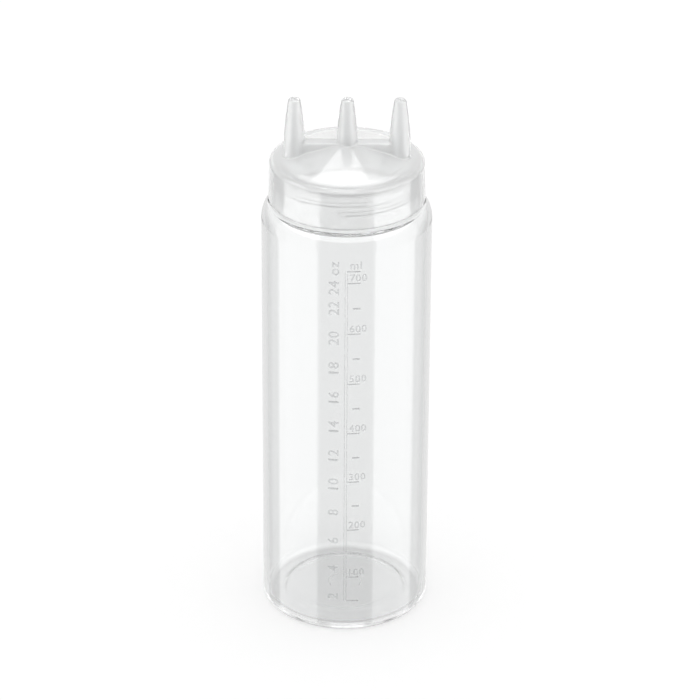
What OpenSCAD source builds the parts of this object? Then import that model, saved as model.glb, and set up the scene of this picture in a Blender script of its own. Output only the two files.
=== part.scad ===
// Squeeze bottle for sauce with a wide-mouth neck and a three-nozzle screw cap.
// Millimetres. The bottle stands on z = 0 with its axis on the z axis, the
// nozzles stand in a row along x, and the graduated front faces -y.

/* [Bottle] */
// Outside diameter of the straight side
body_d = 76; // [60:0.5:110]
// Height at which the straight side ends and the shoulder starts
side_h = 194; // [100:1:260]
// Wall thickness of the side, shoulder and neck
wall = 2.4; // [1:0.1:4]
// Thickness of the floor
floor_t = 2.6; // [1.2:0.1:5]
// Radius of the rounded heel
heel_r = 3.6; // [2.6:0.1:8]
// Width of the flat ring that the bottle stands on
stand_w = 5.8; // [2:0.1:8]
// Width of the slope between the standing ring and the pushed-up floor
push_slope = 4.1; // [2:0.1:10]
// Height of the push-up in the middle of the base
push_h = 2.8; // [0.6:0.1:8]

/* [Shoulder and neck] */
// Radius of the shoulder's curve
shoulder_r = 13; // [8:0.5:16]
// Angle through which the shoulder curves inwards
shoulder_a = 41.5; // [35:0.5:50]
// How far the neck stands in from the straight side
neck_inset = 7.2; // [6.6:0.1:14]
// Height of the neck from the ledge to the lip
neck_h = 16.8; // [12:0.1:24]
// Rounding of the lip
lip_r = 0.7; // [0.3:0.05:1]

/* [Cap] */
// Wall thickness at the top of the skirt
cap_wall = 2; // [1.2:0.1:3.5]
// How much thicker the skirt is at its foot than at its top
skirt_draft = 0.5; // [0:0.05:1]
// Room for the thread between the neck and the skirt
thread_room = 1.6; // [1:0.05:2.5]
// Gap between the ledge and the foot of the skirt
skirt_gap = 1.5; // [0.6:0.1:4]
// Rounding of the foot of the skirt
foot_r = 0.6; // [0.2:0.05:0.9]
// Thickness of the cap over the sealing ring
rim_t = 2.1; // [1.2:0.1:4]
// Rounding of the rim's outer edge
rim_r = 2.4; // [0.5:0.1:3]
// Width of the flat ring round the dome, rounding included
rim_w = 5.1; // [3.5:0.1:8]
// Slope of the dome in degrees
dome_a = 16.6; // [8:0.2:24]
// Wall thickness of the dome, the web and the nozzles
dome_t = 1.6; // [1:0.1:2.4]
// Radius of the half-round bead that holds the sealing ring in the cap
bead_r = 0.5; // [0.35:0.05:0.8]

/* [Nozzles and web] */
// Gap between the foot of an outer nozzle and the flat ring round the dome
edge_gap = 1.4; // [0.4:0.1:6]
// Diameter of a nozzle at its foot
foot_d = 9.4; // [7:0.1:12]
// Diameter of a nozzle just below its rounded tip
tip_d = 5.5; // [4:0.1:6.5]
// Height of a nozzle above the web
nozzle_h = 20.3; // [10:0.1:40]
// Height above the web over which the nozzle is still straight
straight_h = 1.2; // [0.5:0.1:4]
// How much the taper swells outwards half-way up, where 0 is a straight cone
swell = 0.45; // [0:0.05:0.9]
// Rounding of the tip
tip_r = 0.8; // [0.3:0.05:1]
// Diameter of the outlet in the tip
outlet_d = 2.3; // [1:0.1:2.8]
// Length of the outlet before the bore widens
outlet_h = 2.5; // [1:0.1:6]
// Width of the web
web_w = 6.2; // [4.5:0.1:8]
// Height of the web's flat top above the top of the dome
web_rise = 0.7; // [0.3:0.1:3]
// Rounding of the web's top edges
web_r = 0.8; // [0.2:0.05:1.5]
// Rounding of the top edges of the channel inside the web
channel_r = 0.4; // [0.1:0.05:0.6]

/* [Sealing ring] */
// Thickness of the ring as it is squeezed between lip and cap
ring_t = 1.4; // [0.8:0.1:3]
// Gap between the ring and the cap's skirt
ring_gap = 0.3; // [0.1:0.05:0.5]

/* [Hidden] */
$fn = 128;
eps = 0.01;

// Radii and heights of the bottle
body_r = body_d / 2;
bore_r = body_r - wall;
ledge_z = side_h + shoulder_r * sin(shoulder_a);
neck_r = body_r - neck_inset;
mouth_r = neck_r - wall;
lip_z = ledge_z + neck_h;
stand_r = body_r - heel_r - stand_w;
push_r = stand_r - push_slope;
// Smallest radius of a concave corner
corner_r = 1;

// Radii and heights of the cap
skirt_in_r = neck_r + thread_room;
skirt_top_r = skirt_in_r + cap_wall;
skirt_foot_r = skirt_top_r + skirt_draft;
skirt_z = ledge_z + skirt_gap;
bead_z = lip_z - bead_r;
land_z = lip_z + ring_t;
rim_z = land_z + rim_t;
cone_r = skirt_top_r - rim_w;
dome_drop = dome_t / cos(dome_a);
dome_z = rim_z + (cone_r - foot_d / 2) * tan(dome_a);
web_z = dome_z + web_rise;
tip_z = web_z + nozzle_h;
pitch = cone_r - edge_gap - foot_d / 2;

// Points along an arc about [x, z], from angle a to angle b, n steps
function arc(x, z, r, a, b, n) =
    [for (i = [0:n]) let (t = a + (b - a) * i / n) [x + r * cos(t), z + r * sin(t)]];

// Height of the dome's outer cone, and of its inner one, at radius r
function cone_z(r) = rim_z + (cone_r - r) * tan(dome_a);
function inner_cone_z(r) = cone_z(r) - dome_drop;

// Outline of the bottle's outer side, from the middle of the base to the mouth
function bottle_outside() = concat(
    [[0, push_h], [push_r, push_h], [stand_r, 0]],
    arc(body_r - heel_r, heel_r, heel_r, -90, 0, 8),
    arc(body_r - shoulder_r, side_h, shoulder_r, 0, shoulder_a, 10),
    arc(neck_r + corner_r, ledge_z + corner_r, corner_r, 270, 180, 4),
    arc(neck_r - lip_r, lip_z - lip_r, lip_r, 0, 90, 4));

// Outline of its inner side, from the mouth to the middle of the floor
function bottle_inside() =
    let (
        inner_r = shoulder_r - wall,
        roof_z = ledge_z - wall,
        roof_a = asin((roof_z - side_h) / inner_r),
        heel_in_r = max(heel_r - wall, corner_r))
    concat(
        arc(mouth_r + lip_r, lip_z - lip_r, lip_r, 90, 180, 4),
        arc(neck_r + corner_r, ledge_z + corner_r, corner_r + wall, 180, 270, 6),
        arc(body_r - shoulder_r, side_h, inner_r, roof_a, 0, 8),
        arc(bore_r - heel_in_r, floor_t + heel_in_r, heel_in_r, 0, -90, 6),
        [[stand_r, floor_t], [push_r, floor_t + push_h], [0, floor_t + push_h]]);

// Blow-moulded body with a pushed-up floor, a shoulder, a ledge and a wide neck
module bottle()
    color([0.92, 0.95, 0.96, 0.45])
    rotate_extrude()
    polygon(concat(bottle_outside(), bottle_inside()));

// Flat ring squeezed between the lip of the neck and the land inside the cap
module sealing_ring()
    color("white")
    rotate_extrude()
    polygon([
        [mouth_r, lip_z], [skirt_in_r - ring_gap, lip_z],
        [skirt_in_r - ring_gap, land_z], [mouth_r, land_z]]);

// Everything inside the outer face of the cap's skirt, rim and dome
module cap_outside()
    rotate_extrude()
    polygon(concat(
        [[0, skirt_z], [skirt_foot_r - foot_r, skirt_z]],
        arc(skirt_foot_r - foot_r, skirt_z + foot_r, foot_r, -90, 0, 4),
        arc(skirt_top_r - rim_r, rim_z - rim_r, rim_r, 0, 90, 8),
        [[cone_r, rim_z], [foot_d / 2, dome_z], [0, dome_z]]));

// The space inside the cap: skirt, bead over the neck, land for the ring and dome
module cap_inside()
    rotate_extrude()
    polygon(concat(
        [[0, skirt_z - eps], [skirt_in_r + foot_r, skirt_z - eps], [skirt_in_r, skirt_z + foot_r]],
        arc(skirt_in_r, bead_z, bead_r, 270, 90, 6),
        [[skirt_in_r, land_z], [mouth_r, land_z],
         [mouth_r, max(land_z, inner_cone_z(mouth_r))], [0, inner_cone_z(0)]]));

// Straight bar of height z across the dome, w wide, with rounded top edges
module web_bar(z, w, r)
    translate([-pitch, 0, 0])
    rotate([90, 0, 90])
    linear_extrude(2 * pitch)
    polygon(concat(
        [[-w / 2, land_z], [w / 2, land_z]],
        arc(w / 2 - r, z - r, r, 0, 90, 4),
        arc(r - w / 2, z - r, r, 90, 180, 4)));

// Outer face of one nozzle: straight foot, swelling taper and rounded tip
module nozzle_outside()
    rotate_extrude()
    polygon(concat(
        [[0, land_z], [foot_d / 2, land_z], [foot_d / 2, web_z + straight_h]],
        [for (i = [1:4]) let (t = i / 5)
            [foot_d / 2 - (foot_d - tip_d) / 2 * (t - swell * t * (1 - t)),
             web_z + straight_h + (nozzle_h - straight_h - tip_r) * t]],
        arc(tip_d / 2 - tip_r, tip_z - tip_r, tip_r, 0, 90, 5),
        [[0, tip_z]]));

// Bore of one nozzle: wide below, tapering to a short straight outlet
module nozzle_bore() {
    wide_r = foot_d / 2 - dome_t;
    translate([0, 0, land_z])
        cylinder(r = wide_r, h = web_z - land_z);
    translate([0, 0, web_z])
        cylinder(r1 = wide_r, r2 = outlet_d / 2, h = nozzle_h - outlet_h);
    translate([0, 0, tip_z - outlet_h - eps])
        cylinder(d = outlet_d, h = outlet_h + 2 * eps);
}

// Repeats a nozzle's shape at the three places in the row
module in_row()
    for (i = [-1:1])
        translate([i * pitch, 0, 0])
        children();

// Moulded screw cap with a dome, a hollow web and three hollow nozzles
module nozzle_cap()
    color([0.90, 0.93, 0.94, 0.6])
    difference() {
        union() {
            cap_outside();
            web_bar(web_z, web_w, web_r);
            in_row() nozzle_outside();
        }
        cap_inside();
        web_bar(web_z - dome_t, web_w - 2 * dome_t, channel_r);
        in_row() nozzle_bore();
    }

bottle();
sealing_ring();
nozzle_cap();
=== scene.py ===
"""Clear squeeze bottle for sauce, with its sealing ring and its cap of three nozzles.

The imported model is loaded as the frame. The bottle, the ring, the cap and the raised scale are
surfaces worked out with numpy around it, in metres, and each rides on the body that carries it.
"""

import math

import bpy
import numpy as np
from bpy.props import FloatProperty, FloatVectorProperty, IntProperty, PointerProperty
from mathutils import Matrix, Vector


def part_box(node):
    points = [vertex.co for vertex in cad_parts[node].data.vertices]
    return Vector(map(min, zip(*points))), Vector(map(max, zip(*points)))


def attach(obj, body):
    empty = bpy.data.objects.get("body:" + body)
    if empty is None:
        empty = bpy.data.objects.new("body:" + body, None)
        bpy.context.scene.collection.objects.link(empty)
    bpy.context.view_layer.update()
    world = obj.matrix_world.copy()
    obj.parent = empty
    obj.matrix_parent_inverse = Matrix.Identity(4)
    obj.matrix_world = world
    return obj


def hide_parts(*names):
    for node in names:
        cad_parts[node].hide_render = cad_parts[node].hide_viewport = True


bl_info = {
    "name": "Nozzle squeeze bottle",
    "version": (1, 0, 0),
    "blender": (4, 5, 0),
    "location": "View3D > Sidebar > Bottle",
    "description": "Builds a clear sauce bottle with a three-nozzle cap around its packed model",
    "category": "Object",
}

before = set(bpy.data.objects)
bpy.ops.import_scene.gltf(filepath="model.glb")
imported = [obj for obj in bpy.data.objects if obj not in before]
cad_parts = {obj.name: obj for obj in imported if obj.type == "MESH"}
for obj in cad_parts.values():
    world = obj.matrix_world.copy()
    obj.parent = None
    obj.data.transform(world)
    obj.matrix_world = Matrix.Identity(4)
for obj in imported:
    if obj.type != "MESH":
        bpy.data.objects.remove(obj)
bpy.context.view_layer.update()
BODY_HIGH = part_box("bottle")[1]
CAP_LOW, CAP_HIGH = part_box("nozzle_cap")
RING_LOW, RING_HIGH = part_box("sealing_ring")
MM = 0.001
# Where round the neck the thread starts, and the part of a turn over which it fades at its ends
THREAD_ANGLE = math.radians(-102.2)
THREAD_FADE = 0.035
# Distance between the neck's rings of points, fine enough for the thread's ridge
THREAD_STEP = 0.16 * MM
# A US fluid ounce in millilitres, and the height of the built-in font's digits at size 1
OUNCE = 29.5735
DIGIT_SHARE = 0.73
# The scale's lowest mark in millilitres, the top of its rails, where its short marks start and
# all marks end, and the middles of its two columns of numbers and of its unit
LOWEST_MARK = 50
RAIL_TOP = 185.7 * MM
SHORT_START, MARK_END = 2.9 * MM, 6.3 * MM
RIGHT_COLUMN, LEFT_COLUMN, UNIT_PLACE = 5.3 * MM, -5.5 * MM, 4.2 * MM
# Where the lights in the gloss begin and end, each as the two ends of its soft edge: round the
# bottle from the camera in degrees, then by the height of a direction, from -1 straight down to
# 1 straight up, and for the overhead light by how far it leans sideways
SIDES_BEGIN, SIDES_END, STRIPS_BEGIN = (37, 42), (109, 101), (134, 138)
SIDES_TOP, ABOVE_FOOT, OVERHEAD_FOOT = (0.75, 0.55), (0.3, 0.4), (0.66, 0.74)
PANEL_FOOT, CEILING_FOOT, GROUND_TOP = (-0.15, 0.1), (0.3, 0.6), (-0.6, -0.78)
OVERHEAD_LEFT, OVERHEAD_RIGHT = (-0.26, -0.23), (0.18, 0.15)
# Where the camera stands, and how far it looks down, turns and rolls in degrees
CAMERA_PLACE = (0.0, -1.46661, 0.91600)
CAMERA_DOWN, CAMERA_TURN, CAMERA_ROLL = 28.29, 0.07, 0.34
# How often light may bounce before it is given up
BOUNCES = 24
# The floor lies this far under the bottle, so that the two faces don't flicker
FLOOR_DROP = 0.1 * MM


def length(name, description, default, smallest=0.0):
    """A size in metres that a user may change."""
    return FloatProperty(
        name=name,
        description=description,
        default=default,
        min=smallest,
        precision=5,
        subtype="DISTANCE",
        unit="LENGTH",
    )


def tint(name, description, default):
    """A plain colour that a user may change."""
    return FloatVectorProperty(
        name=name,
        description=description,
        default=default,
        size=3,
        min=0.0,
        max=1.0,
        subtype="COLOR",
    )


def share(name, description, default, largest=1.0):
    """A number without a unit, such as a roughness."""
    return FloatProperty(name=name, description=description, default=default, min=0.0, max=largest)


class BottleSizes(bpy.types.PropertyGroup):
    """Sizes of the bottle, its neck and its thread."""

    radius: length("Side", "Radius of the straight side", BODY_HIGH.x)
    wall: length("Wall", "Thickness of the side, shoulder and neck", 2.4 * MM)
    ledge_wall: length("Ledge wall", "Thickness of the ledge under the cap", 2.5 * MM)
    ledge_edge: length("Ledge edge", "Rounding of the ledge's outer edge", 1.5 * MM)
    floor: length("Floor", "Thickness of the floor", 2.6 * MM)
    heel: length("Heel", "Radius of the rounded heel", 3.6 * MM)
    heel_inside: length("Inner heel", "Radius of the heel on the inside", 3.5 * MM)
    stand_radius: length("Stand", "Inner radius of the flat standing ring", 28.6 * MM)
    push_radius: length("Push-up radius", "Radius of the raised middle of the base", 24.5 * MM)
    push_up: length("Push-up", "Height of the raised middle of the base", 2.8 * MM)
    base_edge: length("Base edges", "Rounding at both ends of the push-up's slope", 7.5 * MM)
    step_radius: length("Step radius", "Radius of the shallow step in the base's middle", 7.5 * MM)
    step: length("Step", "Height of that step", 0.3 * MM)
    side: length("Side height", "Height at which the shoulder starts", 194 * MM)
    shoulder: length("Shoulder", "Radius of the shoulder's curve", 13 * MM)
    shoulder_angle: FloatProperty(
        name="Shoulder angle",
        description="Angle through which the shoulder curves inwards",
        default=math.radians(41.5),
        subtype="ANGLE",
    )
    neck: length("Neck", "Outer radius of the neck", 30.8 * MM)
    lip: length("Lip", "Rounding of the lip", 0.7 * MM)
    corner: length("Corners", "Radius of the concave corners", 1.0 * MM)
    thread_start: length("Thread start", "Height at which the thread starts", 212.8 * MM)
    thread_lead: length("Thread lead", "Rise of the thread in one turn", 4.35 * MM)
    thread_height: length("Thread height", "Reach of the thread's ridge", 1.2 * MM)
    thread_width: length("Thread width", "Width of the ridge at its root", 2.1 * MM)
    thread_turns: share("Thread turns", "Turns of the thread on the neck", 1.091, 3.0)
    columns: IntProperty(name="Columns", description="Steps round the bottle", default=288, min=24)


class CapSizes(bpy.types.PropertyGroup):
    """Sizes of the cap, its web and its nozzles."""

    skirt_inside: length("Skirt inside", "Inner radius of the skirt", 32.4 * MM)
    skirt_top: length("Skirt top", "Outer radius of the skirt at its top", 34.4 * MM)
    draft: length("Draft", "How much wider the skirt is at its foot", 0.5 * MM)
    foot_edge: length("Foot edge", "Rounding of the foot of the skirt", 0.6 * MM)
    rim: length("Rim", "Thickness of the cap over the sealing ring", 2.1 * MM)
    rim_edge: length("Rim edge", "Rounding of the rim's outer edge", 2.4 * MM)
    dome_radius: length("Dome radius", "Radius at which the dome rises from the rim", 29.3 * MM)
    dome_slope: FloatProperty(
        name="Dome slope",
        description="Slope of the dome",
        default=math.radians(16.6),
        subtype="ANGLE",
    )
    wall: length("Wall", "Wall thickness of the dome, the web and the nozzles", 1.6 * MM)
    land: length("Land", "Inner radius of the land over the sealing ring", 28.4 * MM)
    bead: length("Bead", "Radius of the bead that holds the ring", 0.5 * MM)
    thread_below: length("Thread below", "How far the cap's thread is under the neck's", 1.95 * MM)
    ridge_half: length("Ridge", "Half the width of the ridge of the cap's thread", 0.8 * MM)
    pitch: length("Pitch", "Distance between neighbouring nozzles", 23.2 * MM)
    nozzle_foot: length("Nozzle foot", "Radius of a nozzle at its foot", 4.7 * MM)
    nozzle_tip: length("Nozzle tip", "Radius of a nozzle below its tip", 2.75 * MM)
    nozzle_height: length("Nozzle height", "Height of a nozzle above the web", 20.3 * MM)
    straight: length("Straight foot", "Height over which a nozzle is straight", 1.2 * MM)
    swell: share("Swell", "How much the taper swells outwards half-way up", 0.45)
    tip_edge: length("Tip edge", "Rounding of the tip", 0.8 * MM)
    outlet: length("Outlet", "Radius of the outlet", 1.15 * MM)
    outlet_length: length("Outlet length", "Length of the outlet", 2.5 * MM)
    web: length("Web", "Half the width of the web", 3.1 * MM)
    web_edge: length("Web edge", "Rounding of the web's top edges", 0.8 * MM)
    fillet: length("Fillet", "Fillet at the feet of the nozzles and the web", 0.6 * MM)
    cell: length("Cell", "Cell of the grid that the surface is found on", 0.5 * MM, 0.2 * MM)


class ScaleSizes(bpy.types.PropertyGroup):
    """Sizes of the raised scale on the bottle's front."""

    rise: length("Rise", "How far the marks stand out of the wall", 0.3 * MM)
    stand_off: length("Stand-off", "Gap that keeps the marks clear of the wall", 0.02 * MM)
    line: length("Line", "Width of the lines", 0.55 * MM)
    rail: length("Rail", "Distance between the two lines of the scale's rail", 1.05 * MM)
    digit: length("Digits", "Height of the digits", 3.9 * MM)
    side_digit: length("Side digits", "Height of the digits along the line", 4.8 * MM)
    millilitres: IntProperty(
        name="Millilitres", description="Last mark of the right column", default=700, min=100
    )
    ounces: IntProperty(
        name="Ounces", description="Last number of the left column", default=24, min=2
    )


class Finishes(bpy.types.PropertyGroup):
    """Colours and roughness of the plastics, with painted shade in the grey of the marks."""

    bottle_tint: tint("Bottle", "Colour of the clear bottle", (0.935, 0.94, 0.94))
    bottle_gloss: share("Bottle roughness", "Roughness of the bottle", 0.03)
    cap_tint: tint("Cap", "Colour of the slightly milky cap", (0.99, 0.995, 0.995))
    cap_gloss: share("Cap roughness", "Roughness inside the cap's plastic", 0.1)
    cap_clear: share("Cap clearness", "Share of the light that goes through the cap", 0.62)
    # The marks are the bottle's own clear plastic; their grey is painted shade that stands in for
    # the dark edges of the raised marks
    mark_tint: tint("Marks", "Colour of the raised scale", (0.82, 0.825, 0.83))
    ring_tint: tint("Ring", "Colour of the sealing ring", (0.9, 0.9, 0.89))
    plastic_ior: share("Refraction", "Index of refraction of the plastics", 1.49, 3.0)


class Studio(bpy.types.PropertyGroup):
    """The floor, the light and the camera."""

    lens: FloatProperty(name="Lens", description="Focal length in mm", default=189.2)
    floor_size: length("Floor", "Width of the floor", 24.0)
    plain: share("Plain light", "Strength of the room's light", 1.1, 5.0)
    front: share("Front", "What the gloss shows towards the camera", 0.25, 5.0)
    back: share("Back", "What the gloss shows behind the bottle, beyond the front's", 0.36, 5.0)
    ceiling: share("Ceiling", "Level of the room high up, as seen through the plastic", 0.8, 5.0)
    panel: share("Panel", "Strength of the tall panel behind, added to the back", 0.78, 20.0)
    above: share("Above", "Strength of the light above the camera", 1.8, 20.0)
    boxes: share("Side boxes", "Strength of the two side lights in the gloss", 2.2, 20.0)
    ground: share("Ground", "What the gloss shows straight below", 0.62, 5.0)
    overhead: share("Overhead", "Strength of the overhead light in the gloss", 2.0, 20.0)
    hidden: share("Hidden", "How much of the lights the gloss inside a wall misses", 0.7)
    rim: share("Rim", "Extra level of the two strips far behind in the gloss", 0.39)
    floor_glow: share("Floor glow", "Share of the floor's white that needs no light", 0.64, 1.0)


def arc(across, height, radius, start, end, steps):
    """Points on an arc: the centre plus the radius times the cosine and sine of an angle in
    degrees that runs evenly from start to end."""
    angle = np.radians(np.linspace(start, end, steps + 1))
    return np.stack([across + radius * np.cos(angle), height + radius * np.sin(angle)], 1)


def softened(points, radii, steps=5):
    """Polyline with rounded corners: each corner with a radius becomes an arc that touches both
    of its sides, radius times the tangent of half the turn away from the corner."""
    rows = []
    points = [np.asarray(p, float) for p in points]
    for before, corner, after, radius in zip(
        [points[0], *points[:-1]], points, [*points[1:], points[-1]], radii
    ):
        if not radius:
            rows.append(corner[None])
            continue
        back = (before - corner) / np.linalg.norm(before - corner)
        on = (after - corner) / np.linalg.norm(after - corner)
        half = math.acos(np.clip(back @ on, -1, 1)) / 2
        middle = back + on
        middle /= np.linalg.norm(middle)
        centre = corner + middle * radius / math.sin(half)
        first = corner + back * radius / math.tan(half) - centre
        last = corner + on * radius / math.tan(half) - centre
        turn = math.pi - 2 * half
        t = np.linspace(0, 1, steps + 1)[:, None]
        rows.append(
            centre + (np.sin((1 - t) * turn) * first + np.sin(t * turn) * last) / math.sin(turn)
        )
    return np.concatenate(rows)


def dense(points, step):
    """The same polyline with points added, evenly along each side that is longer than step."""
    rows = []
    for a, b in zip(points[:-1], points[1:]):
        count = max(1, math.ceil(np.linalg.norm(b - a) / step))
        rows.append(a + (b - a) * (np.arange(count) / count)[:, None])
    return np.concatenate([*rows, points[-1:]])


def lathe_faces(rows, columns, closed):
    """Faces of a turned grid: square (i, j) joins rows i and i + 1 and columns j and j + 1, and
    the last column joins the first. On a closed section the last row joins the first too."""
    i = np.arange(rows if closed else rows - 1)[:, None] * columns
    j = np.arange(columns)[None]
    k = (j + 1) % columns
    above = (i + columns) % (rows * columns)
    return np.stack([i + j, i + k, above + k, above + j], -1).reshape(-1, 4)


def lathe(section, columns, radius_of=None):
    """Turned grid: point (i, j) has the section's radius and height i and is turned by angle j.
    radius_of changes the radius by angle and height. A section that starts and ends on the axis
    is closed there by one point each."""
    turn = 2 * math.pi * np.arange(columns) / columns
    radius = np.repeat(section[:, :1], columns, 1)
    height = np.repeat(section[:, 1:], columns, 1)
    if radius_of is not None:
        radius = radius_of(radius, turn[None], height)
    points = np.stack([radius * np.cos(turn), radius * np.sin(turn), height], -1).reshape(-1, 3)
    capped = section[0, 0] < 1e-9
    if not capped:
        return points, lathe_faces(len(section), columns, True).tolist()
    inner = points[columns:-columns]
    body = lathe_faces(len(section) - 2, columns, False)
    ring = np.arange(columns)
    step = (ring + 1) % columns
    first, last = len(inner), len(inner) + 1
    base = len(inner) - columns
    start = np.stack([np.full(columns, first), step, ring], 1)
    end = np.stack([np.full(columns, last), base + ring, base + step], 1)
    poles = np.array([[0, 0, section[0, 1]], [0, 0, section[-1, 1]]])
    return np.concatenate([inner, poles]), body.tolist() + start.tolist() + end.tolist()


def new_piece(name, points, faces, material, body, nodes=()):
    """A smooth mesh object at the origin that rides on a body and takes a material slot."""
    mesh = bpy.data.meshes.new(name)
    mesh.from_pydata(points, [], faces)
    mesh.polygons.foreach_set("use_smooth", np.ones(len(mesh.polygons), bool))
    mesh.materials.append(material)
    mesh.update()
    piece = bpy.data.objects.new(name, mesh)
    bpy.context.scene.collection.objects.link(piece)
    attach(piece, body)
    if nodes:
        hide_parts(*nodes)
    return piece


def wound(turn, height, start_angle, start, lead, turns):
    """Distance above the nearest wrap of a thread's centreline, and how far along the thread
    that wrap is, in turns. The centreline rises by lead for each turn from start_angle."""
    around = ((turn - start_angle) / (2 * math.pi)) % 1
    nearest = np.round((height - start) / lead - around)
    along = around + np.clip(nearest, 0, np.where(around + 1 <= turns, 1, 0))
    return height - start - lead * along, along


def fade(along, turns):
    """1 along the thread, falling to 0 over THREAD_FADE turns at either end: three times the
    square of the share less twice its cube."""
    t = np.clip(np.minimum(along, turns - along) / THREAD_FADE, 0, 1)
    return t * t * (3 - 2 * t)


def bottle_section(s):
    """Outline of the bottle's wall as radius and height: from the middle of the base outwards,
    up the side, over the shoulder, up the neck, over the lip and down the inside to the floor."""
    ledge = s.side + s.shoulder * math.sin(s.shoulder_angle)
    lip = RING_LOW.z
    degrees = math.degrees(s.shoulder_angle)
    bore = s.radius - s.wall
    inner = s.shoulder - s.wall
    roof = ledge - s.ledge_wall
    roof_angle = math.degrees(math.asin(min((roof - s.side) / inner, 1)))
    base = softened(
        [
            (0, s.push_up + s.step),
            (s.step_radius - s.step, s.push_up + s.step),
            (s.step_radius, s.push_up),
            (s.push_radius, s.push_up),
            (s.stand_radius, 0),
            (s.radius - s.heel, 0),
        ],
        [0, s.step, s.step, s.base_edge, s.base_edge, 0],
        8,
    )
    shoulder = arc(s.radius - s.shoulder, s.side, s.shoulder, 0, degrees, 24)
    ledge_corner = softened(
        [shoulder[-4], (shoulder[-1][0], ledge), (s.neck + s.corner, ledge)],
        [0, s.ledge_edge, 0],
    )[1:-1]
    neck_root = arc(s.neck + s.corner, ledge + s.corner, s.corner, 270, 180, 8)
    neck = dense(np.array([neck_root[-1], (s.neck, lip - s.lip)]), THREAD_STEP)[1:]
    lip_over = arc(s.neck - s.lip, lip - s.lip, s.lip, 0, 90, 6)[1:]
    mouth = s.neck - s.wall
    lip_inside = arc(mouth + s.lip, lip - s.lip, s.lip, 90, 180, 6)
    turn_in = ledge + s.corner - roof
    neck_inside = arc(mouth + turn_in, roof + turn_in, turn_in, 180, 270, 10)
    shoulder_inside = arc(s.radius - s.shoulder, s.side, inner, roof_angle, 0, 20)
    turn = s.heel_inside
    heel_inside = arc(bore - turn, s.floor + turn, turn, 0, -90, 10)
    floor_inside = softened(
        [
            heel_inside[-1],
            (s.stand_radius, s.floor),
            (s.push_radius, s.floor + s.push_up),
            (0, s.floor + s.push_up),
        ],
        [0, s.base_edge, s.base_edge, 0],
        8,
    )[1:]
    outside = [
        dense(base, 2.5 * MM),
        arc(s.radius - s.heel, s.heel, s.heel, -90, 0, 12)[1:],
        dense(np.array([(s.radius, s.heel), (s.radius, s.side)]), 6 * MM)[1:-1],
        shoulder[:-3],
        ledge_corner,
        neck_root,
        neck,
        lip_over,
    ]
    inside = [
        lip_inside,
        dense(np.array([lip_inside[-1], neck_inside[0]]), 2 * MM)[1:-1],
        neck_inside,
        shoulder_inside,
        dense(np.array([(bore, s.side), heel_inside[0]]), 6 * MM)[1:-1],
        heel_inside,
        dense(floor_inside, 2.5 * MM),
    ]
    return np.concatenate(outside + inside)


class BOTTLE_OT_body(bpy.types.Operator):
    """Builds the bottle as one turned wall with the thread's ridge on its neck"""

    bl_idname = "bottle.body"
    bl_label = "Bottle"

    def execute(self, context):
        """The ridge adds its height to the neck's radius, times a share that rises smoothly from
        0 at the ridge's root to 1 over three tenths of its width."""
        s = context.scene.bottle_sizes

        def with_ridge(radius, turn, height):
            """Radius of the bottle with the ridge on the outside of its neck."""
            off, along = wound(
                turn, height, THREAD_ANGLE, s.thread_start, s.thread_lead, s.thread_turns
            )
            flank = np.clip((s.thread_width / 2 - abs(off)) / (0.3 * s.thread_width), 0, 1)
            flank = flank * flank * (3 - 2 * flank)
            outside = abs(radius - s.neck) < 1e-6
            return radius + outside * s.thread_height * flank * fade(along, s.thread_turns)

        points, faces = lathe(bottle_section(s), s.columns, with_ridge)
        finish = clear_plastic(
            "clear_bottle", context.scene.finishes.bottle_tint, context.scene.finishes.bottle_gloss
        )
        new_piece("clear_bottle", points, faces, finish, "body", ["bottle"])
        return {"FINISHED"}


class BOTTLE_OT_ring(bpy.types.Operator):
    """Builds the soft ring between the lip and the cap"""

    bl_idname = "bottle.ring"
    bl_label = "Sealing ring"

    def execute(self, context):
        """The section is a rectangle with rounded corners, turned about the axis."""
        s = context.scene.bottle_sizes
        inner, outer = s.neck - s.wall, RING_HIGH.x
        low, high = RING_LOW.z + 0.02 * MM, RING_HIGH.z - 0.02 * MM
        round_by = 0.3 * MM
        section = np.concatenate([
            arc(outer - round_by, low + round_by, round_by, -90, 0, 4),
            arc(outer - round_by, high - round_by, round_by, 0, 90, 4),
            arc(inner + round_by, high - round_by, round_by, 90, 180, 4),
            arc(inner + round_by, low + round_by, round_by, 180, 270, 4),
        ])
        points, faces = lathe(section, 192)
        ring = soft_rubber("ring_rubber", context.scene.finishes.ring_tint)
        new_piece("seal_ring", points, faces, ring, "seal", ["sealing_ring"])
        return {"FINISHED"}


def joined(a, b, radius):
    """Union of two distance fields with a concave fillet: where both are nearer than radius, the
    distance is the radius less the hypotenuse of what each lacks."""
    lack = np.hypot(np.maximum(radius - a, 0), np.maximum(radius - b, 0))
    return np.maximum(radius, np.minimum(a, b)) - lack


def trimmed(a, b, radius):
    """Overlap of two distance fields with a rounded edge, the mirror image of joined."""
    over = np.hypot(np.maximum(radius + a, 0), np.maximum(radius + b, 0))
    return np.minimum(-radius, np.maximum(a, b)) + over


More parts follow.
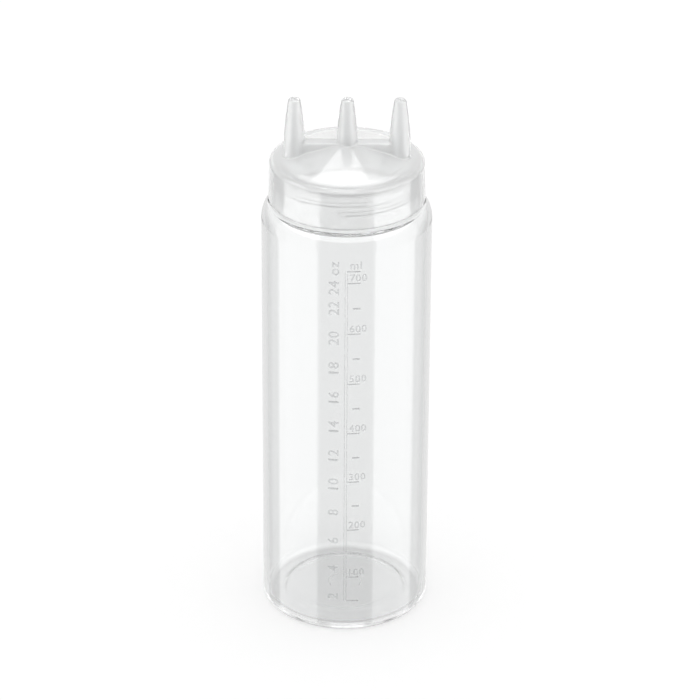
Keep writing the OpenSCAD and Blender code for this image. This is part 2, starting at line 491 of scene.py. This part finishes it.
def cap_field(points, c, s):
    """Distance in metres to the cap's surface, below 0 in the plastic. The outer form is the
    skirt under the rim and the dome, joined with fillets to the web and the tapered nozzles. The
    space inside it, the channel in the web and the bores are taken away, and the ridge of the
    thread and the bead are added to the skirt's inner wall."""
    # Roundings where two forms meet
    broad, middling, fine = 0.8 * MM, 0.6 * MM, 0.3 * MM
    x, y, z = points.T
    radius = np.hypot(x, y)
    foot, land = CAP_LOW.z, RING_HIGH.z
    rim, tip = land + c.rim, CAP_HIGH.z
    web = tip - c.nozzle_height
    slope, lean = math.tan(c.dome_slope), math.cos(c.dome_slope)
    bend = rim - c.rim_edge
    leaning = c.draft / (bend - foot - c.foot_edge)
    side = radius - c.skirt_top - leaning * np.clip(bend - z, 0, None)
    cone = (z - rim - (c.dome_radius - radius) * slope) * lean
    solid = trimmed(side, joined(z - rim, cone, broad), c.rim_edge)
    solid = trimmed(solid, foot - z, c.foot_edge)
    bar = trimmed(trimmed(abs(y) - c.web, z - web, c.web_edge), abs(x) - c.pitch, 0.2 * MM)
    solid = joined(solid, np.maximum(bar, land - z), c.fillet)
    nozzle_x = x - c.pitch * np.clip(np.round(x / c.pitch), -1, 1)
    out = np.hypot(nozzle_x, y)
    t = np.clip((z - web - c.straight) / (c.nozzle_height - c.straight - c.tip_edge), 0, 1.1)
    taper = c.nozzle_foot - (c.nozzle_foot - c.nozzle_tip) * (t - c.swell * t * (1 - t))
    nozzle = trimmed(out - taper, z - tip, c.tip_edge)
    solid = joined(solid, np.maximum(nozzle, land - z), c.fillet)
    under = (z - rim - (c.dome_radius - radius) * slope) * lean + c.wall
    skirt_space = trimmed(radius - c.skirt_inside, z - land, fine)
    space = joined(skirt_space, trimmed(radius - c.land, under, broad), fine)
    channel = trimmed(abs(y) - c.web + c.wall, z - web + c.wall, 0.4 * MM)
    space = joined(space, np.maximum(channel, abs(x) - c.pitch), middling)
    wide, narrow = c.nozzle_foot - c.wall, c.outlet
    u = np.clip((z - web) / (c.nozzle_height - c.outlet_length), 0, 1)
    bore = np.maximum(out - wide - (narrow - wide) * u, land - z - 2 * MM)
    space = joined(space, bore, middling)
    cap = trimmed(solid, -space, 0.35 * MM)
    off, along = wound(
        np.arctan2(y, x), z, THREAD_ANGLE, s.thread_start - c.thread_below, s.thread_lead,
        s.thread_turns,
    )
    crest = c.skirt_inside - s.thread_height * fade(along, s.thread_turns)
    ridge = trimmed(abs(off) - c.ridge_half, crest - radius, fine)
    ridge = np.maximum(ridge, radius - c.skirt_inside - c.ridge_half)
    cap = joined(cap, ridge, fine)
    bead = np.hypot(radius - c.skirt_inside, z - RING_LOW.z + c.bead) - c.bead
    return joined(cap, bead, 0.2 * MM)


def slopes(field, points, step=2e-6):
    """Gradient of a field, by the difference of its values a step either side."""
    parts = []
    for axis in np.eye(3) * step:
        parts.append((field(points + axis) - field(points - axis)) / (2 * step))
    return np.stack(parts, 1)


def settled(field, points, rounds, most):
    """Moves points onto the surface where the field is 0, along its gradient."""
    for _ in range(rounds):
        value, gradient = field(points), slopes(field, points)
        move = gradient * (value / np.maximum((gradient**2).sum(1), 0.05))[:, None]
        size = np.linalg.norm(move, axis=1, keepdims=True)
        points = points - move * np.minimum(1, most / np.maximum(size, 1e-12))
    return points


def evened(points, quads, field, rounds, most):
    """Evens out a net of squares: each point goes half-way to the mean of its neighbours, and
    then back onto the surface."""
    ends = np.concatenate([quads[:, [a, (a + 1) % 4]] for a in range(4)])
    ends = np.concatenate([ends, ends[:, ::-1]])
    degree = np.bincount(ends[:, 0], minlength=len(points))[:, None]
    for _ in range(rounds):
        total = np.stack(
            [np.bincount(ends[:, 0], points[ends[:, 1], k], len(points)) for k in range(3)], 1
        )
        points = settled(field, points + (total / degree - points) * 0.5, 1, most)
    return settled(field, points, 3, most)


def net(field, low, high, cell):
    """Net of squares on the surface where a field is 0. Each cell of a grid that the surface
    crosses gets one point, the mean of where it crosses the cell's edges, and each crossed edge
    gets one square of the four cells round it."""
    counts = np.ceil((high - low) / cell).astype(int) + 1
    axes = [low[k] + cell * np.arange(counts[k]) for k in range(3)]
    value = np.empty(counts)
    for layer in range(counts[0]):
        yy, zz = np.meshgrid(axes[1], axes[2], indexing="ij")
        flat = np.stack([np.full(yy.size, axes[0][layer]), yy.ravel(), zz.ravel()], 1)
        value[layer] = field(flat).reshape(yy.shape)
    inside = value < 0
    total = np.zeros((*(counts - 1), 3))
    hits = np.zeros(counts - 1)
    squares = []
    cell_id = np.arange(np.prod(counts - 1)).reshape(counts - 1)
    for axis in range(3):
        b, c = (axis + 1) % 3, (axis + 2) % 3
        lower = [slice(None)] * 3
        upper = [slice(None)] * 3
        lower[axis], upper[axis] = slice(0, -1), slice(1, None)
        here, there = value[tuple(lower)], value[tuple(upper)]
        crossed = (here < 0) != (there < 0)
        for k in (b, c):
            edge = [slice(None)] * 3
            edge[k] = [0, -1]
            crossed[tuple(edge)] = False
        at = np.argwhere(crossed)
        t = here[crossed] / (here[crossed] - there[crossed])
        where = np.stack([axes[k][at[:, k]] for k in range(3)], 1)
        where[:, axis] += t * cell
        corners = []
        for db, dc in ((-1, -1), (0, -1), (0, 0), (-1, 0)):
            near = at.copy()
            near[:, b] += db
            near[:, c] += dc
            np.add.at(total, tuple(near.T), where)
            np.add.at(hits, tuple(near.T), 1)
            corners.append(cell_id[tuple(near.T)])
        square = np.stack(corners, 1)
        flip = ~inside[tuple(lower)][crossed]
        square[flip] = square[flip][:, ::-1]
        squares.append(square)
    used = hits > 0
    points = total[used] / hits[used][:, None]
    number = np.full(cell_id.size, -1)
    number[cell_id[used]] = np.arange(len(points))
    return points, number[np.concatenate(squares)]


class BOTTLE_OT_cap(bpy.types.Operator):
    """Builds the cap with its skirt, rim, dome, web and hollow nozzles"""

    bl_idname = "bottle.cap"
    bl_label = "Nozzle cap"

    def execute(self, context):
        """The surface is where the cap's distance field is 0. It blends three nozzles, a web and
        a dome with fillets all round, which no grid of two parameters can follow."""
        c, s = context.scene.cap_sizes, context.scene.bottle_sizes
        margin = 2.3 * c.cell

        def field(points):
            """The cap's field for the sizes of this scene."""
            return cap_field(points, c, s)

        low, high = np.array(CAP_LOW) - margin, np.array(CAP_HIGH) + margin
        points, squares = net(field, low, high, c.cell)
        points = settled(field, points, 3, c.cell / 2)
        points = evened(points, squares, field, 4, c.cell / 2)
        looks = context.scene.finishes
        finish = clear_plastic("clear_cap", looks.cap_tint, looks.cap_gloss, looks.cap_clear)
        cap = new_piece(
            "moulded_cap", points, squares.tolist(), finish, "cap", ["nozzle_cap"]
        )
        normals = slopes(field, points)
        normals /= np.linalg.norm(normals, axis=1, keepdims=True)
        cap.data.normals_split_custom_set_from_vertices(normals)
        return {"FINISHED"}


def bent(points, radius):
    """Bends flat marks round the side: x runs round the front as an angle of x over the radius,
    y runs up, and z is the distance from the wall."""
    turn = points[:, 0] / radius - math.pi / 2
    out = radius + points[:, 2]
    return np.stack([out * np.cos(turn), out * np.sin(turn), points[:, 1]], 1)


def stroke(left, right, low, high, scale):
    """A raised bar as a pillow: a rectangular grid whose height is the rise, falling as a quarter
    of a circle to nothing over its outermost 0.22 mm, over a flat back."""
    edge = 0.22 * MM
    width, tall = right - left, high - low
    across = np.unique(np.concatenate([
        [0, edge * 0.5, edge, width - edge, width - edge * 0.5, width],
        np.linspace(edge, width - edge, max(2, int(width / (0.8 * MM)))),
    ]))
    upward = np.unique(np.concatenate([
        [0, edge * 0.5, edge, tall - edge, tall - edge * 0.5, tall],
        np.linspace(edge, tall - edge, max(2, int(tall / (4 * MM)))),
    ]))
    u, v = np.meshgrid(across, upward)
    near = np.minimum(np.minimum(u, width - u), np.minimum(v, tall - v)) / edge
    lift = scale.rise * np.sqrt(1 - (1 - np.clip(near, 0, 1)) ** 2)
    front = np.stack([left + u, low + v, scale.stand_off + lift], -1).reshape(-1, 3)
    rows, columns = u.shape
    back = front.copy()
    back[:, 2] = scale.stand_off
    i, j = np.meshgrid(np.arange(rows - 1), np.arange(columns - 1), indexing="ij")
    a = (i * columns + j).ravel()
    quads = np.stack([a, a + 1, a + columns + 1, a + columns], 1)
    border = near.ravel() < 1e-9
    number = np.arange(len(front)) + len(front)
    number[border] = np.arange(len(front))[border]
    keep = np.flatnonzero(~border)
    shift = np.arange(len(front))
    shift[keep] = len(front) + np.arange(len(keep))
    under = shift[quads[:, ::-1]]
    return np.concatenate([front, back[keep]]), np.concatenate([quads, under])


def written(text, size, turned, centre, scale):
    """Raised characters as a flat mesh: the outline of the built-in font, given a thickness and a
    bevelled front, then set upright or turned to read upwards, with its middle at centre."""
    curve = bpy.data.curves.new("characters", "FONT")
    curve.body = text
    curve.size = size / DIGIT_SHARE
    curve.resolution_u = 4
    curve.space_character = 1.12
    bevel = 0.06 * MM
    curve.extrude = scale.rise / 2 - bevel
    curve.bevel_depth = bevel
    curve.bevel_resolution = 1
    source = bpy.data.objects.new("characters", curve)
    bpy.context.scene.collection.objects.link(source)
    graph = bpy.context.evaluated_depsgraph_get()
    mesh = bpy.data.meshes.new_from_object(source.evaluated_get(graph))
    points = np.empty(len(mesh.vertices) * 3)
    mesh.vertices.foreach_get("co", points)
    points = points.reshape(-1, 3)
    faces = [list(face.vertices) for face in mesh.polygons]
    bpy.data.objects.remove(source)
    bpy.data.curves.remove(curve)
    bpy.data.meshes.remove(mesh)
    points -= (points.min(0) + points.max(0)) / 2
    if turned:
        points = points @ np.array([[0, 1, 0], [-1, 0, 0], [0, 0, 1]])
    points[:, :2] += centre
    points[:, 2] += scale.stand_off + scale.rise / 2
    return points, faces


def level(millilitres, s):
    """Height of the sauce's surface for a volume: the floor's height, plus the volume and that of
    the floor's raised middle over the area of the bore."""
    bore = s.radius - s.wall
    middle = (s.push_radius + s.stand_radius) / 2
    raised = math.pi * middle**2 * s.push_up
    return s.floor + (millilitres * 1e-6 + raised) / (math.pi * bore**2)


class BOTTLE_OT_scale(bpy.types.Operator):
    """Builds the raised scale: a line, its marks and two columns of numbers"""

    bl_idname = "bottle.scale"
    bl_label = "Scale"

    def execute(self, context):
        """Marks stand at the height that each volume reaches in the bore."""
        s, scale = context.scene.bottle_sizes, context.scene.scale_sizes
        half = scale.line / 2
        low, high = level(LOWEST_MARK, s), RAIL_TOP
        parts = [
            stroke(side - half / 2, side + half / 2, low - half, high + half, scale)
            for side in (-scale.rail / 2, scale.rail / 2)
        ]
        start = scale.rail / 2 + half / 2 + 0.02 * MM
        for z in (low, high):
            parts.append(stroke(start, MARK_END, z - half, z + half, scale))
        for millilitres in range(100, scale.millilitres + 1, 50):
            z = level(millilitres, s)
            major = millilitres % 100 == 0
            left = start if major else SHORT_START
            reach = half if major else half * 1.5
            parts.append(stroke(left, MARK_END, z - reach, z + reach, scale))
            if major:
                centre = (RIGHT_COLUMN, z + 0.75 * MM + scale.digit / 2)
                parts.append(written(str(millilitres), scale.digit * 0.9, False, centre, scale))
        parts.append(written("ml", scale.digit, False, (UNIT_PLACE, high + 3.2 * MM), scale))
        for ounces in range(2, scale.ounces + 1, 2):
            centre = (LEFT_COLUMN, level(ounces * OUNCE, s))
            words = str(ounces) if ounces < scale.ounces else f"{ounces} oz"
            parts.append(written(words, scale.side_digit, True, centre, scale))
        # The grey of the marks is painted shade: it darkens the clear plastic so that the raised
        # scale reads as dark lines
        finish = clear_plastic("scale_plastic_painted_shade", context.scene.finishes.mark_tint, 0.1)
        counts = np.cumsum([0] + [len(points) for points, _ in parts])
        faces = [
            [v + shift for v in face]
            for shift, (_, shape) in zip(counts, parts)
            for face in (shape.tolist() if hasattr(shape, "tolist") else shape)
        ]
        points = bent(np.concatenate([points for points, _ in parts]), s.radius)
        piece = new_piece("raised_scale", points, faces, finish, "body")
        piece.data.polygons.foreach_set("use_smooth", np.zeros(len(faces), bool))
        return {"FINISHED"}


def node_at(tree, kind, **values):
    """A shader node with its plain settings and input values set by name."""
    node = tree.nodes.new(kind)
    for key, value in values.items():
        if key in node.inputs:
            node.inputs[key].default_value = value
        else:
            setattr(node, key, value)
    return node


def moulding_group():
    """Node group of what moulding leaves on clear plastic: broad waves, drawn out along the
    height, as a height for the bump, and faint scuffs that are added to the roughness."""
    name = "moulded surface"
    if name in bpy.data.node_groups:
        return bpy.data.node_groups[name]
    tree = bpy.data.node_groups.new(name, "ShaderNodeTree")
    sockets = {"INPUT": ("Wave size", "Gloss", "Scuffs"), "OUTPUT": ("Height", "Roughness")}
    for way, titles in sockets.items():
        for title in titles:
            tree.interface.new_socket(title, in_out=way, socket_type="NodeSocketFloat")
    link = tree.links.new
    given = tree.nodes.new("NodeGroupInput")
    result = tree.nodes.new("NodeGroupOutput")
    place = tree.nodes.new("ShaderNodeTexCoord")
    drawn = node_at(tree, "ShaderNodeMapping", Scale=(1.0, 1.0, 0.12))
    waves = node_at(tree, "ShaderNodeTexNoise", Detail=1.0)
    scuffs = node_at(tree, "ShaderNodeTexNoise", Scale=900.0, Detail=3.0)
    speck = node_at(tree, "ShaderNodeMapRange")
    speck.inputs["From Min"].default_value = 0.5
    speck.inputs["From Max"].default_value = 0.75
    by_scuffs = node_at(tree, "ShaderNodeMath", operation="MULTIPLY")
    total = node_at(tree, "ShaderNodeMath", operation="ADD")
    link(place.outputs["Object"], drawn.inputs["Vector"])
    link(drawn.outputs["Vector"], waves.inputs["Vector"])
    link(given.outputs["Wave size"], waves.inputs["Scale"])
    link(place.outputs["Object"], scuffs.inputs["Vector"])
    link(scuffs.outputs["Fac"], speck.inputs["Value"])
    link(speck.outputs["Result"], by_scuffs.inputs[0])
    link(given.outputs["Scuffs"], by_scuffs.inputs[1])
    link(by_scuffs.outputs["Value"], total.inputs[0])
    link(given.outputs["Gloss"], total.inputs[1])
    link(waves.outputs["Fac"], result.inputs["Height"])
    link(total.outputs["Value"], result.inputs["Roughness"])
    return tree


def moulded(name, colour, ior, clearness, wave_size, gloss, scuffs, depth):
    """A moulded material and its Principled shader. Light goes through it by its clearness, the
    shared group makes its wall a little wavy by depth and breaks its gloss with scuffs."""
    material = bpy.data.materials.new(name)
    material.use_nodes = True
    tree = material.node_tree
    shader = tree.nodes["Principled BSDF"]
    shader.inputs["Base Color"].default_value = (*colour, 1)
    shader.inputs["IOR"].default_value = ior
    shader.inputs["Transmission Weight"].default_value = clearness
    surface = tree.nodes.new("ShaderNodeGroup")
    surface.node_tree = moulding_group()
    surface.inputs["Wave size"].default_value = wave_size
    surface.inputs["Gloss"].default_value = gloss
    surface.inputs["Scuffs"].default_value = scuffs
    bump = node_at(tree, "ShaderNodeBump", Strength=depth, Distance=0.05 * MM)
    link = tree.links.new
    link(surface.outputs["Roughness"], shader.inputs["Roughness"])
    link(surface.outputs["Height"], bump.inputs["Height"])
    link(bump.outputs["Normal"], shader.inputs["Normal"])
    return material, shader


def clear_plastic(name, colour, gloss, clearness=1.0):
    """Clear moulded plastic. Where it is milky, its surface keeps a smooth gloss of its own."""
    ior = bpy.context.scene.finishes.plastic_ior
    material, shader = moulded(name, colour, ior, clearness, 120.0, gloss, 0.03, 0.25)
    shader.inputs["Coat Weight"].default_value = 0.0 if clearness == 1 else 0.6
    shader.inputs["Coat Roughness"].default_value = 0.04
    return material


def soft_rubber(name, colour):
    """Soft translucent rubber: milky inside, satin outside."""
    return moulded(name, colour, 1.41, 0.5, 200.0, 0.4, 0.2, 0.2)[0]


def seen_share(tree, kinds):
    """1 for the kinds of ray named, and 0 for the others."""
    path = tree.nodes.new("ShaderNodeLightPath")
    total = path.outputs[kinds[0]]
    for kind in kinds[1:]:
        most = node_at(tree, "ShaderNodeMath", operation="MAXIMUM")
        tree.links.new(total, most.inputs[0])
        tree.links.new(path.outputs[kind], most.inputs[1])
        total = most.outputs["Value"]
    return total


def reflected_share(tree):
    """1 for light that some gloss has thrown back on its way, and 0 for light that came straight
    or scattered last."""
    path = tree.nodes.new("ShaderNodeLightPath")
    once = maths(tree, "MINIMUM", path.outputs["Glossy Depth"], 1.0)
    plain = maths(tree, "SUBTRACT", 1.0, path.outputs["Is Diffuse Ray"])
    return maths(tree, "MULTIPLY", once, plain)


def ramp(tree, value, start, end):
    """Smooth step of a value, 0 at start and 1 at end."""
    node = node_at(tree, "ShaderNodeMapRange", interpolation_type="SMOOTHSTEP")
    node.inputs["From Min"].default_value = start
    node.inputs["From Max"].default_value = end
    tree.links.new(value, node.inputs["Value"])
    return node.outputs["Result"]


def maths(tree, operation, first, second):
    """A Math node on two values, each a socket or a number."""
    node = node_at(tree, "ShaderNodeMath", operation=operation)
    for socket, value in zip(node.inputs, (first, second)):
        if hasattr(value, "node"):
            tree.links.new(value, socket)
        else:
            socket.default_value = value
    return node.outputs["Value"]


def gloss_light(tree, studio, direction, through):
    """Level of the room in a direction as gloss shows it. Two tall lights stand at the sides, one
    narrow light hangs overhead, one lies above the camera and one panel stands high behind. Low
    behind, the room is dim but for two strips, the front is dimmer still, and straight below is
    the ground. Gloss inside a wall sees less of the lights. Each soft edge is a ramp, and the
    parts of one light are multiplied."""
    x, y, z = direction

    def times(first, second):
        """Product of two values."""
        return maths(tree, "MULTIPLY", first, second)

    def plus(first, second):
        """Sum of two values."""
        return maths(tree, "ADD", first, second)

    def rest(value):
        """What a share leaves of 1."""
        return maths(tree, "SUBTRACT", 1.0, value)

    turned = maths(tree, "ARCTAN2", maths(tree, "ABSOLUTE", x, 0.0), times(y, -1.0))
    into = ramp(tree, turned, *np.radians(SIDES_BEGIN))
    before = ramp(tree, turned, *np.radians(SIDES_END))
    far = ramp(tree, turned, *np.radians(STRIPS_BEGIN))
    lifted = ramp(tree, z, *PANEL_FOOT)
    sides = times(times(into, before), ramp(tree, z, *SIDES_TOP))
    spread = maths(tree, "DIVIDE", x, maths(tree, "MAXIMUM", z, 0.01))
    strip = times(ramp(tree, spread, *OVERHEAD_LEFT), ramp(tree, spread, *OVERHEAD_RIGHT))
    strip = times(strip, ramp(tree, z, *OVERHEAD_FOOT))
    lights = plus(times(sides, studio.boxes), times(strip, studio.overhead))
    lights = plus(lights, times(times(lifted, rest(before)), studio.panel))
    lights = plus(lights, times(times(far, rest(lifted)), studio.rim))
    seen = times(lights, rest(times(through, studio.hidden)))
    seen = plus(seen, times(rest(before), studio.back))
    seen = plus(seen, times(times(ramp(tree, z, *ABOVE_FOOT), before), studio.above))
    seen = plus(seen, studio.front)
    below = ramp(tree, z, *GROUND_TOP)
    return plus(times(seen, rest(below)), times(below, studio.ground))


def room_light(studio):
    """World: white to the camera and through the plastic, a little dimmer high up, at a plain
    level for the floor and other scattered light, and a studio of lights in the gloss."""
    world = bpy.data.worlds.new("white studio")
    bpy.context.scene.world = world
    world.use_nodes = True
    tree = world.node_tree
    tree.nodes.clear()
    link = tree.links.new
    place = tree.nodes.new("ShaderNodeTexCoord")
    parts = tree.nodes.new("ShaderNodeSeparateXYZ")
    link(place.outputs["Generated"], parts.inputs["Vector"])
    through = seen_share(tree, ["Is Transmission Ray"])
    gloss = gloss_light(tree, studio, parts.outputs, through)
    white = seen_share(tree, ["Is Camera Ray", "Is Transmission Ray"])
    plain = maths(tree, "MULTIPLY", white, 1 - studio.plain)
    plain = maths(tree, "ADD", plain, studio.plain)
    ceiling = maths(tree, "MULTIPLY", ramp(tree, parts.outputs["Z"], *CEILING_FOOT), through)
    ceiling = maths(tree, "MULTIPLY", ceiling, 1 - studio.ceiling)
    plain = maths(tree, "SUBTRACT", plain, ceiling)
    glossy = reflected_share(tree)
    kept = maths(tree, "MULTIPLY", plain, maths(tree, "SUBTRACT", 1.0, glossy))
    strength = maths(tree, "ADD", kept, maths(tree, "MULTIPLY", gloss, glossy))
    background = node_at(tree, "ShaderNodeBackground", Color=(1, 1, 1, 1))
    output = tree.nodes.new("ShaderNodeOutputWorld")
    link(strength, background.inputs["Strength"])
    link(background.outputs["Background"], output.inputs["Surface"])


def floor_material(studio):
    """Pale floor: it takes the bottle's shadow, and part of its white needs no light. Light that
    gloss has thrown back goes through it, and finds the level of the room below instead."""
    material = bpy.data.materials.new("pale floor")
    material.use_nodes = True
    tree = material.node_tree
    shader = tree.nodes["Principled BSDF"]
    shader.inputs["Base Color"].default_value = (0.36, 0.36, 0.36, 1)
    shader.inputs["Roughness"].default_value = 0.9
    shader.inputs["Specular IOR Level"].default_value = 0.0
    shader.inputs["Emission Color"].default_value = (1, 1, 1, 1)
    shader.inputs["Emission Strength"].default_value = studio.floor_glow
    material.cycles.emission_sampling = "NONE"
    gone = tree.nodes.new("ShaderNodeBsdfTransparent")
    mix = tree.nodes.new("ShaderNodeMixShader")
    tree.links.new(reflected_share(tree), mix.inputs["Fac"])
    tree.links.new(shader.outputs["BSDF"], mix.inputs[1])
    tree.links.new(gone.outputs["BSDF"], mix.inputs[2])
    tree.links.new(mix.outputs["Shader"], tree.nodes["Material Output"].inputs["Surface"])
    return material


class BOTTLE_OT_stage(bpy.types.Operator):
    """Builds the floor, the soft studio light and the camera"""

    bl_idname = "bottle.stage"
    bl_label = "Stage"

    def execute(self, context):
        """The camera stands where the photograph was taken from, above and in front."""
        studio = context.scene.studio
        half = studio.floor_size / 2
        ends = ((-half, -half), (half, -half), (half, half), (-half, half))
        corners = [(x, y, -FLOOR_DROP) for x, y in ends]
        mesh = bpy.data.meshes.new("floor")
        mesh.from_pydata(corners, [], [(0, 1, 2, 3)])
        mesh.materials.append(floor_material(studio))
        ground = bpy.data.objects.new("floor", mesh)
        context.scene.collection.objects.link(ground)
        ground.visible_glossy = False
        room_light(studio)
        data = bpy.data.cameras.new("view")
        data.lens = studio.lens
        data.sensor_width = 36.0
        data.clip_start, data.clip_end = 0.05, 50.0
        camera = bpy.data.objects.new("view", data)
        context.scene.collection.objects.link(camera)
        pitch, yaw, roll = np.radians([CAMERA_DOWN, CAMERA_TURN, CAMERA_ROLL])
        look = np.array([
            math.sin(yaw) * math.cos(pitch), math.cos(yaw) * math.cos(pitch), -math.sin(pitch)
        ])
        right = np.array([math.cos(yaw), -math.sin(yaw), 0.0])
        up = np.cross(right, look)
        x = math.cos(roll) * right + math.sin(roll) * up
        y = -math.sin(roll) * right + math.cos(roll) * up
        placed = np.eye(4)
        placed[:3, :3] = np.stack([x, y, -look], 1)
        placed[:3, 3] = CAMERA_PLACE
        camera.matrix_world = Matrix(placed.tolist())
        context.scene.camera = camera
        for kind in ("max_bounces", "transmission_bounces", "glossy_bounces"):
            setattr(context.scene.cycles, kind, BOUNCES)
        context.scene.view_settings.view_transform = "Standard"
        return {"FINISHED"}


class BOTTLE_PT_panel(bpy.types.Panel):
    """Lists the pieces of the bottle and its stage"""

    bl_idname = "BOTTLE_PT_panel"
    bl_label = "Squeeze bottle"
    bl_space_type = "VIEW_3D"
    bl_region_type = "UI"
    bl_category = "Bottle"

    def draw(self, context):
        """One button for each operator, and the sizes under them."""
        for operator in OPERATORS:
            self.layout.operator(operator.bl_idname)
        for name, group in GROUPS.items():
            box = self.layout.box()
            for key in group.__annotations__:
                box.prop(getattr(context.scene, name), key)


GROUPS = {
    "bottle_sizes": BottleSizes,
    "cap_sizes": CapSizes,
    "scale_sizes": ScaleSizes,
    "finishes": Finishes,
    "studio": Studio,
}
OPERATORS = (BOTTLE_OT_body, BOTTLE_OT_ring, BOTTLE_OT_cap, BOTTLE_OT_scale, BOTTLE_OT_stage)


def register():
    """Registers the groups, the operators and the panel."""
    for name, group in GROUPS.items():
        bpy.utils.register_class(group)
        setattr(bpy.types.Scene, name, PointerProperty(type=group))
    for cls in (*OPERATORS, BOTTLE_PT_panel):
        bpy.utils.register_class(cls)


def unregister():
    """Takes them away again."""
    for cls in (BOTTLE_PT_panel, *reversed(OPERATORS)):
        bpy.utils.unregister_class(cls)
    for name, group in reversed(GROUPS.items()):
        delattr(bpy.types.Scene, name)
        bpy.utils.unregister_class(group)


def main():
    """Builds each piece and the stage."""
    register()
    bpy.ops.bottle.body()
    bpy.ops.bottle.ring()
    bpy.ops.bottle.cap()
    bpy.ops.bottle.scale()
    bpy.ops.bottle.stage()
    bpy.context.view_layer.update()


if __name__ == "__main__":
    main()
